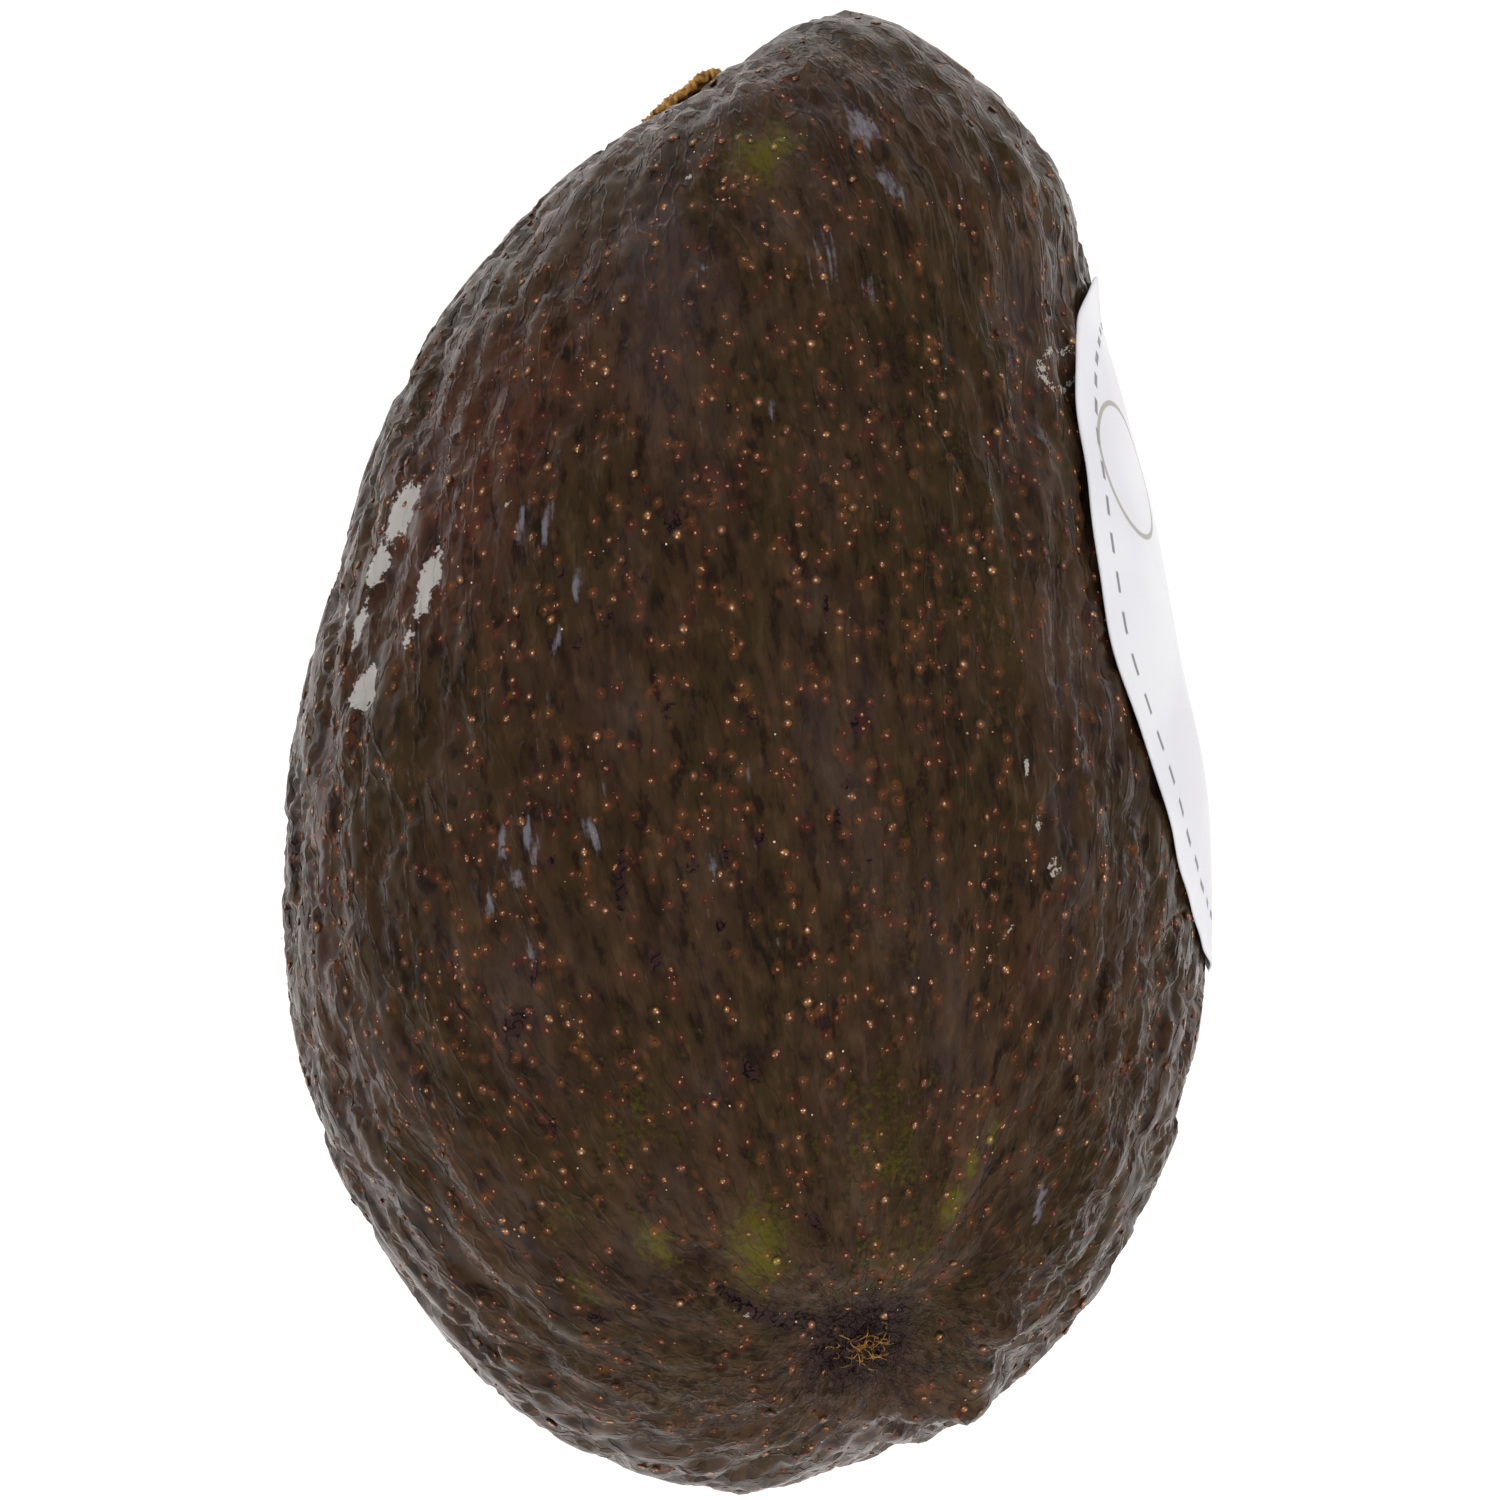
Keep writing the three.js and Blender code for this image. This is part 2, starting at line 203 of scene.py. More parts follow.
# Directions of growth: the skin's pattern runs along lines from the stem to the blossom scar. It
# is laid out by the way round that axis and the way along it, both in metres at the girth.
GIRTH = 33 * MM
axis = unit(stem_place - scar_place)
along_axis = (core_points - scar_place) @ axis
off_axis = core_points - scar_place - along_axis[:, None] * axis
axis_side = unit(np.cross(axis, (0, 0, 1)))
axis_up = np.cross(axis_side, axis)
off_radius = np.linalg.norm(off_axis, axis=1)
spread = np.sqrt(GIRTH / np.maximum(off_radius, 0.5 * MM))
flow = np.stack([off_axis @ axis_side * spread, off_axis @ axis_up * spread, along_axis], axis=1)

# Marks on the skin, seen from above from the part's origin in mm:
# x, y, length, width, degrees from the fruit's length to the mark's, clockwise, and strength
RUBBED_WAX_HIGHLIGHTS = [  # pale patches of scuffed wax, painted as the highlights that light makes on them
    (-25.1, 17, 5.2, 3.4, 10, 1), (-26.8, 13.3, 4.4, 2.2, 15, 0.95), (-23.5, 11.9, 5.2, 2.2, 12, 1),
    (-24.7, 7.9, 3, 1.4, 10, 0.7), (-29.3, 10.2, 2.6, 2, 20, 0.7), (-28.2, 9.2, 5, 1.6, 15, 0.75),
    (-27.8, 4.4, 4.4, 2.6, 60, 1), (-26.9, 16.8, 1.6, 0.9, 5, 0.8), (-4.4, 41.5, 1.4, 0.6, 0, 0.5),
]
PAINTED_SHEENS = [  # painted sheens: faint bluish streaks of light reflected off the wax
    (20.9, -32.9, 4, 1.1, 15, 0.8), (-16.4, 16.8, 3.4, 0.9, 0, 0.9), (-14.7, 16.1, 4, 0.8, 0, 0.9),
    (-13.7, 7.8, 2, 0.6, 0, 0.9),
    (-0.2, -1.4, 2.8, 0.8, 0, 0.8), (-17.8, -6.7, 3, 1.1, 0, 1), (-15.4, -7.2, 2.6, 0.7, 0, 1),
    (-11.3, -6.1, 3.6, 1, -35, 0.9), (-16.8, -9.1, 2, 0.9, -30, 0.9), (-2.6, -7.9, 3, 1, 0, 0.7),
    (8.4, 45, 4, 2.2, -15, 0.9), (10.1, 40.6, 3.8, 1.3, -15, 0.8),
    (-12.5, 11.7, 2.6, 0.7, 0, 0.9), (-16.1, -5.9, 3, 1, 0, 0.9), (-18.7, -11.3, 2.2, 0.8, 0, 0.8),
    (5.2, 35, 5, 2.6, 0, 0.6), (8.6, 33, 3.5, 1.4, 0, 0.5), (-3.4, 34.5, 1.8, 0.8, 20, 0.6),
    (-13.5, 2.5, 2.4, 0.7, 0, 0.5), (2.3, -13.5, 2, 0.9, 20, 0.5), (-6.2, 2, 2, 0.7, 0, 0.5),
    (-15.8, -14.6, 4, 1.2, 0, 0.4), (1.6, 24.6, 3, 0.8, 0, 0.5), (18.8, 28, 5, 1, -15, 0.4),
]
SCRATCHES = [  # thin pale scratches
    (-0.3, -40.9, 2.4, 0.5, -60, 0.8), (19.7, -1.2, 2.2, 0.55, 5, 1),
    (20.5, -5.3, 1.6, 1, 20, 0.8), (21.8, -8.6, 2.2, 1.3, 0, 0.8),
    (18.8, -13, 3.2, 0.5, 40, 0.7), (17.2, -14.7, 2, 0.4, 45, 0.7), (-17.3, 17.7, 1, 0.5, 40, 0.9),
    (-15.7, 15.2, 0.7, 0.4, 0, 0.9), (24, 24.6, 2.4, 0.8, 10, 0.6), (16.7, -33.5, 5, 0.4, 25, 0.4),
]
SCABS = [  # dark cracked scabs
    (0, -39.9, 9.4, 1, -51, 1), (5.5, -43.5, 5, 0.9, -65, 0.9),
    (-13.6, 12.7, 1.6, 1.2, 0, 0.7), (9.4, 9.1, 2, 1.2, 0, 0.7), (5.5, 10.2, 2.2, 1, 0, 0.7),
    (0.4, 2.3, 2, 1.2, 0, 0.7), (1, -1.5, 2, 1, 0, 0.7), (8.7, -7.9, 1.4, 0.9, 0, 0.7),
    (6.3, -4.8, 2.2, 0.9, 0, 0.7), (-10.2, 9.6, 2.4, 1.1, 0, 0.7), (-12.6, 7.8, 1.8, 1.3, 0, 0.7),
    (-4.2, -8.5, 1.8, 1.1, 0, 0.7), (-14, -7.9, 2, 1, 0, 0.6), (-6.1, 2.9, 2.2, 1.6, 0, 0.6),
    (-9.2, -9.2, 6.2, 0.9, 0, 1), (-16.9, -19.5, 3, 2, 30, 1), (-15.2, -15.6, 2.6, 1.2, 10, 0.9),
    (0.7, -6.4, 2, 0.9, 0, 0.9), (6.9, -2.3, 1.5, 0.9, 30, 0.8), (7.5, 2, 1.5, 0.9, 0, 0.8),
    (-1.7, -7.5, 1.8, 0.9, 0, 0.8), (-6.9, -15.2, 1.8, 1.2, 0, 0.8), (-2.1, -12.7, 1.6, 1, 0, 0.8),
    (5.3, -19.4, 1.5, 0.9, 0, 0.7), (0, -22.9, 3, 1, -35, 1), (-5.6, 16.5, 2.2, 1.7, 0, 0.9),
    (-7.3, 12.4, 1.5, 0.9, 0, 0.8), (-14.3, -27, 2, 1.2, 0, 0.8), (-11, -40.9, 2.5, 1.5, 70, 0.8),
    (-13.4, -36.5, 2, 1, 0, 0.7), (-1.4, -14.8, 2.5, 0.8, 0, 0.6), (4.6, -34, 3, 0.8, -40, 0.9),
]
SCAR_STREAKS = [  # dark skin that runs out of the blossom scar
    (3.2, -41, 13, 3, -63, 0.7), (12.5, -44.6, 8, 2.4, 72, 0.55), (10, -40.6, 5, 5, 0, 0.8),
    (5.6, -44.4, 7, 2.6, 50, 0.6), (6.2, -37.6, 5, 2, -20, 0.5),
]
GREENS = [  # patches that stayed green
    (1, 43.2, 8, 6, 0, 0.9), (0.9, -35.6, 9, 5.5, 0, 1), (14.7, -32.9, 3.6, 2.4, 10, 1.2),
    (15.8, -29.6, 3.6, 1.4, 0, 1), (17.3, -27.1, 2.6, 1.6, 0, 0.9), (-6.7, -35.4, 3.4, 5, 60, 0.9),
    (-11.6, -38.7, 3, 3.6, 60, 0.7), (-13.3, -33.8, 3, 4, 0, 0.6), (18, 8, 14, 7, -10, 0.35),
    (10, -12, 20, 9, 0, 0.3), (-9, -27, 14, 12, 0, 0.35), (6, 30, 26, 8, 0, 0.22),
    (9, -28, 14, 10, 0, 0.5), (14, 24, 18, 9, 0, 0.2), (11, -36, 12, 12, 0, 0.45),
]
REDS = [  # patches that ripened redder
    (-31, -4, 44, 9, 0, 0.6),
    (-21, 20, 34, 17, 20, 1), (-8, 26, 26, 10, 0, 0.35), (-14, 0, 24, 12, 0, 0.4),
    (20, -16, 14, 7, 10, 0.5), (22, 6, 16, 5, 0, 0.35), (-4, 12, 20, 9, 0, 0.35),
]
SMOOTHER = [  # low pebbles
    (4, -30, 22, 18, 0, 0.6), (16, -18, 26, 8, 15, 0.75), (-2, 8, 50, 16, 0, 0.35),
    (16, 10, 30, 9, -8, 0.4),
]
SPARSE = [  # few lenticels and low pebbles
    (-8, 42, 24, 9, 55, 0.85), (8, 52, 14, 24, 80, 1), (14, 46, 12, 16, 60, 1),
    (0, 47, 6, 14, 70, 0.7), (8, -46, 8, 22, 90, 0.5),
]
PLEATS = [  # fine ridges along the lines of growth
    (20.5, -38, 20, 6, 29, 1), (26, -22, 26, 8, 10, 0.8), (16, 42, 26, 13, -40, 1),
    (6, 50, 14, 10, 80, 0.9), (24, 30, 14, 6, -15, 0.6), (0, -47, 30, 9, 80, 0.9),
    (-3, -39, 10, 5, -60, 0.4), (8.7, -43, 9, 9, 0, 1),
]


def paint(marks):
    """How strongly each point of the skin carries these marks."""
    painted = np.zeros(len(skin_points))
    faces_up = skin_normals[:, 2] > 0
    for x, y, length, width, degrees, strength in marks:
        away = np.hypot(skin_points[:, 0] - x * MM, skin_points[:, 1] - y * MM)
        nearest = np.argmin(np.where(faces_up, away, 1))
        normal = skin_normals[nearest]
        turn = math.radians(degrees)
        way = np.array((math.sin(turn), math.cos(turn), 0))
        way = unit(way - normal * (way @ normal))
        offset = (skin_points - skin_points[nearest]) / MM
        sizes = np.array((length, width, max(length, width))) / 2
        shares = offset @ np.stack([way, np.cross(normal, way), normal], axis=1) / sizes
        painted = np.maximum(painted, strength * np.exp(-(shares**2).sum(axis=1)))
    return painted


def near(place, radius):
    """1 at a place given from the core, falling to 0 at a radius in mm."""
    return hollow(np.linalg.norm(core_points - place, axis=1), radius * MM)


FOOT_RADIUS = 9  # in mm, round the flat spot that the fruit lies on
SCRATCHED_RING = (22.4, 27.6, 1.5)  # x, y and radius of a small round scratch by the label
ring_x, ring_y, ring_radius = np.array(SCRATCHED_RING) * MM
ring_away = np.hypot(skin_points[:, 0] - ring_x, skin_points[:, 1] - ring_y)
ring = 0.8 * np.exp(-(((ring_away - ring_radius) / (0.35 * MM)) ** 2)) * (skin_normals[:, 2] > 0)
beneath = hollow(np.hypot(*(skin_points[:, :2] - CORE_PLACE[:2]).T), FOOT_RADIUS * MM)
at_foot = beneath * (skin_normals[:, 2] < 0)
# What is painted on the skin. On the flanks the pebbles stand up to twice as high as on top.
masks = {
    "pebbled": 1 - np.max([near(stem_place, 7), 0.75 * near(scar_place, 9), paint(SMOOTHER)], axis=0),
    "at_foot": at_foot,
    "scar": np.maximum(near(scar_place, 8), paint(SCAR_STREAKS)),
    "seat": near(stem_place, 6.2),
    "wax_highlight": paint(RUBBED_WAX_HIGHLIGHTS),
    "painted_sheen": paint(PAINTED_SHEENS),
    "scratch": np.maximum(paint(SCRATCHES), ring),
    "scab": paint(SCABS),
    "green": np.minimum(paint(GREENS), 1),
    "red": paint(REDS),
    "sparse": paint(SPARSE),
    "pleated": paint(PLEATS),
    "flank": np.clip((0.8 - skin_normals[:, 2]) / 0.5, 0, 1) * (1 - paint(SPARSE)),
}
for name, mask in masks.items():
    base.data.attributes.new(name, "FLOAT", "POINT").data.foreach_set("value", mask)
base.data.attributes.new("flow", "FLOAT_VECTOR", "POINT").data.foreach_set("vector", flow.ravel())


class Wire:
    """One output of a node, in a shader or a geometry tree. Arithmetic on it adds Math nodes."""

    def __init__(self, graph, socket):
        self.graph = graph
        self.socket = socket

    def math(self, operation, *others):
        inputs = dict(enumerate((self, *others)))
        return self.graph.node("ShaderNodeMath", {"operation": operation}, inputs)

    def __add__(self, other):
        return self.math("ADD", other)

    def __sub__(self, other):
        return self.math("SUBTRACT", other)

    def __rsub__(self, other):
        return self * -1 + other

    def __mul__(self, other):
        return self.math("MULTIPLY", other)

    def __pow__(self, other):
        return self.math("POWER", other)

    __radd__ = __add__
    __rmul__ = __mul__

    def other(self, name):
        """Another output of the same node."""
        return Wire(self.graph, find_socket(self.socket.node.outputs, name))

    def rise(self, low, high):
        """0 below low, 1 above high, and smooth between them."""
        inputs = {"Value": self, "From Min": low, "From Max": high}
        settings = {"interpolation_type": "SMOOTHSTEP"}
        return self.graph.node("ShaderNodeMapRange", settings, inputs)


def find_socket(sockets, key):
    """A socket by its place in the list, or the one in use that has this name."""
    if isinstance(key, int):
        return sockets[key]
    return next(socket for socket in sockets if socket.enabled and socket.name == key)


class Graph:
    """A node tree that is written as expressions."""

    def __init__(self, tree):
        self.tree = tree

    def node(self, kind, settings=None, inputs=None, output=0):
        """Adds a node with its settings, then its values and links, and gives one of its outputs."""
        node = self.tree.nodes.new(kind)
        for setting, value in (settings or {}).items():
            setattr(node, setting, value)
        for key, value in (inputs or {}).items():
            socket = find_socket(node.inputs, key)
            if isinstance(value, Wire):
                self.tree.links.new(value.socket, socket)
            else:
                socket.default_value = value
        if not node.outputs:
            return node
        if output == 0:
            output = next(i for i, socket in enumerate(node.outputs) if socket.enabled)
        return Wire(self, find_socket(node.outputs, output))

    def vector(self, operation, first, second):
        return self.node("ShaderNodeVectorMath", {"operation": operation}, {0: first, 1: second})

    def scaled(self, place, sizes):
        """A place counted in steps of one size in mm, or of three: two across and one along."""
        steps = sizes if isinstance(sizes, tuple) else (sizes,) * 3
        return self.vector("DIVIDE", place, tuple(step * MM for step in steps))

    def noise(self, place, sizes, detail=2, roughness=0.5):
        inputs = {"Vector": self.scaled(place, sizes), "Scale": 1}
        inputs |= {"Detail": detail, "Roughness": roughness}
        return self.node("ShaderNodeTexNoise", {}, inputs)

    def cells(self, steps, feature="F1", **inputs):
        """How far a place is from the middle of its cell."""
        inputs = {"Vector": steps, "Scale": 1} | {key.title(): v for key, v in inputs.items()}
        return self.node("ShaderNodeTexVoronoi", {"feature": feature}, inputs, "Distance")

    def mix(self, factor, first, second):
        inputs = {"Factor": factor, "A": first, "B": second}
        return self.node("ShaderNodeMix", {"data_type": "RGBA"}, inputs)

    def own_place(self):
        """Where a point lies on its object, in a shader."""
        return self.node("ShaderNodeTexCoord", {}, {}, "Object")

    def mask(self, name, output="Fac"):
        """What was painted on the skin, in a shader."""
        return self.node("ShaderNodeAttribute", {"attribute_name": name}, {}, output)

    def stored(self, geometry, name, value, domain="POINT"):
        """A geometry that carries a number under this name for its material."""
        inputs = {"Geometry": geometry, "Name": name, "Value": value}
        settings = {"data_type": "FLOAT", "domain": domain}
        return self.node("GeometryNodeStoreNamedAttribute", settings, inputs)


def geometry_tree(name, inputs):
    """A geometry tree with one geometry in and out and these named inputs, and its graph."""
    kinds = {float: "Float", int: "Int", bool: "Bool", bpy.types.Material: "Material"}
    tree = bpy.data.node_groups.new(name, "GeometryNodeTree")
    tree.interface.new_socket("Geometry", in_out="INPUT", socket_type="NodeSocketGeometry")
    for label, value in inputs.items():
        kind = f"NodeSocket{kinds[type(value)]}"
        socket = tree.interface.new_socket(label, in_out="INPUT", socket_type=kind)
        if kind != "NodeSocketMaterial":
            socket.default_value = value
    tree.interface.new_socket("Geometry", in_out="OUTPUT", socket_type="NodeSocketGeometry")
    graph = Graph(tree)
    graph.node("NodeGroupInput")
    given = {socket.name: Wire(graph, socket) for socket in tree.nodes[0].outputs if socket.name}
    return graph, given


def finish_tree(graph, geometry, material):
    """Ends a tree with a plain mesh in its material."""
    plain = graph.node("GeometryNodeRealizeInstances", {}, {"Geometry": geometry})
    finished = {"Geometry": plain, "Material": material}
    finished = graph.node("GeometryNodeSetMaterial", {}, finished)
    graph.node("NodeGroupOutput", {}, {"Geometry": finished})
    return graph.tree


def grown(name, start, tree, inputs):
    """Runs a geometry tree on an object and gives the result as a plain piece."""
    modifier = start.modifiers.new(name, "NODES")
    modifier.node_group = tree
    for item in tree.interface.items_tree:
        if item.in_out == "INPUT" and item.name in inputs:
            modifier[item.identifier] = inputs[item.name]
    graph = bpy.context.evaluated_depsgraph_get()
    mesh = bpy.data.meshes.new_from_object(
        start.evaluated_get(graph), preserve_all_data_layers=True, depsgraph=graph)
    start.modifiers.remove(modifier)
    mesh.name = name
    piece = bpy.data.objects.new(name, mesh)
    bpy.context.scene.collection.objects.link(piece)
    return piece


def painted(graph, name, kind="FLOAT"):
    """A value painted on the skin, in a geometry tree."""
    settings = {"data_type": kind}
    return graph.node("GeometryNodeInputNamedAttribute", settings, {"Name": name}, "Attribute")


def raised_by(graph, geometry, height):
    """A geometry whose points are lifted along its normals."""
    normal = graph.node("GeometryNodeInputNormal")
    lift = graph.node("ShaderNodeVectorMath", {"operation": "SCALE"}, {0: normal, "Scale": height})
    return graph.node("GeometryNodeSetPosition", {}, {"Geometry": geometry, "Offset": lift})


def draw_number(graph, low, high, seed, kind="FLOAT"):
    """A number drawn at random for each point."""
    limits = {"Min": low, "Max": high, "Seed": seed}
    return graph.node("FunctionNodeRandomValue", {"data_type": kind}, limits)


def pebble_cells(graph, flow):
    """How far each place is from the middle of its pebble; a slow noise bends the pebbles' rows."""
    bend = graph.node("ShaderNodeTexNoise", {}, {"Vector": graph.scaled(flow, BEND)}, "Color")
    bent = graph.vector("ADD", graph.scaled(flow, PEBBLE), bend)
    return graph.cells(bent, "SMOOTH_F1", smoothness=0.4, randomness=0.9)


def ridges(graph, place, sizes, width):
    """Thin winding lines, where a noise crosses its middle value."""
    level = graph.noise(place, sizes)
    return 1 - (level - 0.5).math("ABSOLUTE").rise(0, width)


# Sizes of the skin's patterns in mm: two across the lines of growth, then one along them
BEND, PEBBLE = 5, (2.9, 2.9, 5.4)
SMALL_SWELLING, SLOW_SWELLING = (1.3, 1.3, 2.1), (7, 7, 12)
CREASE, PLEAT = (3.2, 3.2, 26), (2.2, 2.2, 16)
LENTICEL_DRIFT = (3.5, 3.5, 14)
LENTICELS_SOWN = 420000.0  # at most, on a square metre
STAIN_NEAR, STAIN_FAR = 0.15 * MM, 0.78 * MM  # the stain round a lenticel fades between these
# Grains on each kind of lenticel: across and along its cap, and radius, all as shares of the cap's
LENTICEL_KINDS = [
    [(0, 0.1, 0.3)],
    [(0.1, 0.3, 0.24), (-0.25, -0.2, 0.18), (1.9, 1.2, 0.2)],
    [(0, 0.42, 0.2), (0.12, -0.05, 0.18), (-0.1, -0.5, 0.16)],
    [(-0.3, 0.3, 0.18), (0.3, 0, 0.24)],
    [(0.1, 0, 0.22), (-1.5, 2.3, 0.22), (-1.2, -1.8, 0.16)],
]
CAP_SIDES, GRAIN_SIDES = 6, 5
CAP_RIM, CAP_RISE, CAP_SUNK = 0.38, 0.18, 0.35  # its side, its dome and how deep it sits
GRAIN_PLACE, GRAIN_HEIGHT = 0.16, 0.14  # how high on the cap a grain sits, and its own height


def lenticel_shapes(graph):
    """Each kind of lenticel: a low cap of cork, its rim sunk in the skin, and pale grains on it."""
    rings = {"Vertices": CAP_SIDES, "Radius Top": 1.0, "Radius Bottom": 1.0, "Depth": 1.0}
    cap = graph.node("GeometryNodeMeshCone", {"fill_type": "TRIANGLE_FAN"}, rings, "Mesh")
    place = graph.node("GeometryNodeInputPosition")
    level = graph.vector("MULTIPLY", place, (1, 1, 0))
    inside = 1 - graph.node("ShaderNodeVectorMath", {"operation": "LENGTH"}, {0: level}, "Value")
    height = graph.node("ShaderNodeSeparateXYZ", {}, {"Vector": place}, "Z")
    on_top = height.math("GREATER_THAN", 0.5)
    rise = on_top * (CAP_RIM + inside * CAP_RISE) - CAP_SUNK
    rise = graph.node("ShaderNodeCombineXYZ", {}, {"Z": rise})
    cap = graph.stored(cap, "tip", inside)
    flat_sides = {"Geometry": cap, "Shade Smooth": False}
    cap = graph.node("GeometryNodeSetShadeSmooth", {}, flat_sides)
    smooth_top = {"Geometry": cap, "Selection": on_top, "Shade Smooth": True}
    cap = graph.node("GeometryNodeSetShadeSmooth", {}, smooth_top)
    domed = {"Geometry": cap, "Position": graph.vector("ADD", level, rise)}
    cap = graph.node("GeometryNodeSetPosition", {}, domed)

    point = {"Vertices": GRAIN_SIDES, "Radius Top": 0.0, "Radius Bottom": 1.0, "Depth": 2.0}
    grain = graph.node("GeometryNodeMeshCone", {}, point, "Mesh")
    grain = graph.stored(grain, "tip", 2.0)
    grain = graph.node("GeometryNodeSetShadeSmooth", {}, {"Geometry": grain})
    kinds = graph.tree.nodes.new("GeometryNodeGeometryToInstance")
    for places in LENTICEL_KINDS:
        parts = graph.tree.nodes.new("GeometryNodeJoinGeometry")
        graph.tree.links.new(cap.socket, parts.inputs[0])
        for x, y, radius in places:
            moving = {"Geometry": grain, "Translation": (x, y, GRAIN_PLACE)}
            moving["Scale"] = (radius, radius, GRAIN_HEIGHT)
            moved_grain = graph.node("GeometryNodeTransform", {}, moving)
            graph.tree.links.new(moved_grain.socket, parts.inputs[0])
        graph.tree.links.new(parts.outputs[0], kinds.inputs[0])
    return Wire(graph, kinds.outputs[0])


def sown_lenticels(graph, given, points):
    """A lenticel on each point, with its kind, turn, size and tint drawn at random."""
    seed = given["Seed"]
    chance = draw_number(graph, 0.0, 1.0, seed)
    kind = draw_number(graph, 0, len(LENTICEL_KINDS) - 1, seed, "INT")
    spin = graph.node("ShaderNodeCombineXYZ", {}, {"Z": draw_number(graph, 0.0, 6.28, seed)})
    size = given["Lenticel size"] * (0.2 + chance**3 * 0.38)
    flat = graph.node("ShaderNodeCombineXYZ", {}, {"X": size, "Y": size * 1.2, "Z": size * 0.34})
    placing = {"Points": points, "Instance": lenticel_shapes(graph), "Pick Instance": True}
    placing |= {"Instance Index": kind, "Rotation": points.other("Rotation"), "Scale": flat}
    dots = graph.node("GeometryNodeInstanceOnPoints", {}, placing)
    spinning = {"Instances": dots, "Rotation": spin, "Local Space": True}
    dots = graph.node("GeometryNodeRotateInstances", {}, spinning)
    return graph.stored(dots, "tint", draw_number(graph, 0.0, 1.0, 7), "INSTANCE")


def skin_tree(settings):
    """Raises pebbles and creases, then gives either the skin or the lenticels sown over it."""
    graph, given = geometry_tree("pebbled_skin", settings)
    flow = painted(graph, "flow", "FLOAT_VECTOR")
    pebbled = painted(graph, "pebbled")
    off_foot = 1 - painted(graph, "at_foot")

    # Pebbles, with smaller swellings on them and slow ones under them, then creases and pleats
    dome = 1 - pebble_cells(graph, flow).rise(0.3, 0.88)
    small = graph.cells(graph.scaled(flow, SMALL_SWELLING), "SMOOTH_F1", smoothness=0.5)
    swell = graph.noise(flow, SLOW_SWELLING, detail=1)
    crease = ridges(graph, flow, CREASE, 0.05)
    pleat = ridges(graph, flow, PLEAT, 0.14) * painted(graph, "pleated")
    height = given["Pebble height"] * (1 + painted(graph, "flank"))
    raised = pebbled * dome * height + pebbled * (0.5 - small) * given["Grain height"]
    raised = raised + (swell - 0.5) * given["Swell height"] - crease * given["Crease depth"]
    raised = raised + pleat * given["Pleat height"]
    skin = raised_by(graph, given["Geometry"], (raised - height * 0.5) * off_foot)

    # The flat spot, where the table stops the skin
    here = graph.node("GeometryNodeInputPosition")
    above = graph.vector("MAXIMUM", here, (-1, -1, 0))
    skin = graph.node("GeometryNodeSetPosition", {}, {"Geometry": skin, "Position": above})
    skin = graph.stored(skin, "dome", dome)

    # Lenticels: corky dots sown in drifts, none in the seat, under the fruit or in the scar. The
    # skin is stained round each dot.
    bare = (1 - painted(graph, "seat")) * (1 - painted(graph, "scar")) * off_foot
    bare = bare * (1 - painted(graph, "sparse") * 0.75)
    sowing = {
        "Mesh": skin,
        "Distance Min": given["Lenticel spacing"],
        "Density Max": LENTICELS_SOWN,
        "Density Factor": graph.noise(flow, LENTICEL_DRIFT).rise(0.31, 0.57) * bare,
        "Seed": given["Seed"],
    }
    sow = "GeometryNodeDistributePointsOnFaces"
    points = graph.node(sow, {"distribute_method": "POISSON"}, sowing, "Points")
    target = {"Geometry": points}
    away = graph.node("GeometryNodeProximity", {"target_element": "POINTS"}, target, "Distance")
    skin = graph.stored(skin, "spot", 1 - away.rise(STAIN_NEAR, STAIN_FAR))
    dots = sown_lenticels(graph, given, points)
    choice = {"Switch": given["Give the lenticels"], "False": skin, "True": dots}
    chosen = graph.node("GeometryNodeSwitch", {"input_type": "GEOMETRY"}, choice)
    return finish_tree(graph, chosen, given["Material"])


def srgb(red, green, blue):
    """A colour as it shows on a screen, from 0 to 255, as the renderer takes it."""
    def linear(value):
        share = value / 255
        return share / 12.92 if share <= 0.04045 else ((share + 0.055) / 1.055) ** 2.4
    return (linear(red), linear(green), linear(blue), 1)


def new_material(name):
    """A material with its shader, ready to be linked, and its graph."""
    material = bpy.data.materials.new(name)
    material.use_nodes = True
    return material, Graph(material.node_tree), material.node_tree.nodes["Principled BSDF"]


def feed(graph, shader, sockets):
    """Links or sets several sockets of a shader."""
    for key, value in sockets.items():
        socket = find_socket(shader.inputs, key)
        if isinstance(value, Wire):
            graph.tree.links.new(value.socket, socket)
        else:
            socket.default_value = value


def bump(graph, height, distance, strength=1.0):
    inputs = {"Height": height, "Distance": distance, "Strength": strength}
    return graph.node("ShaderNodeBump", {}, inputs)


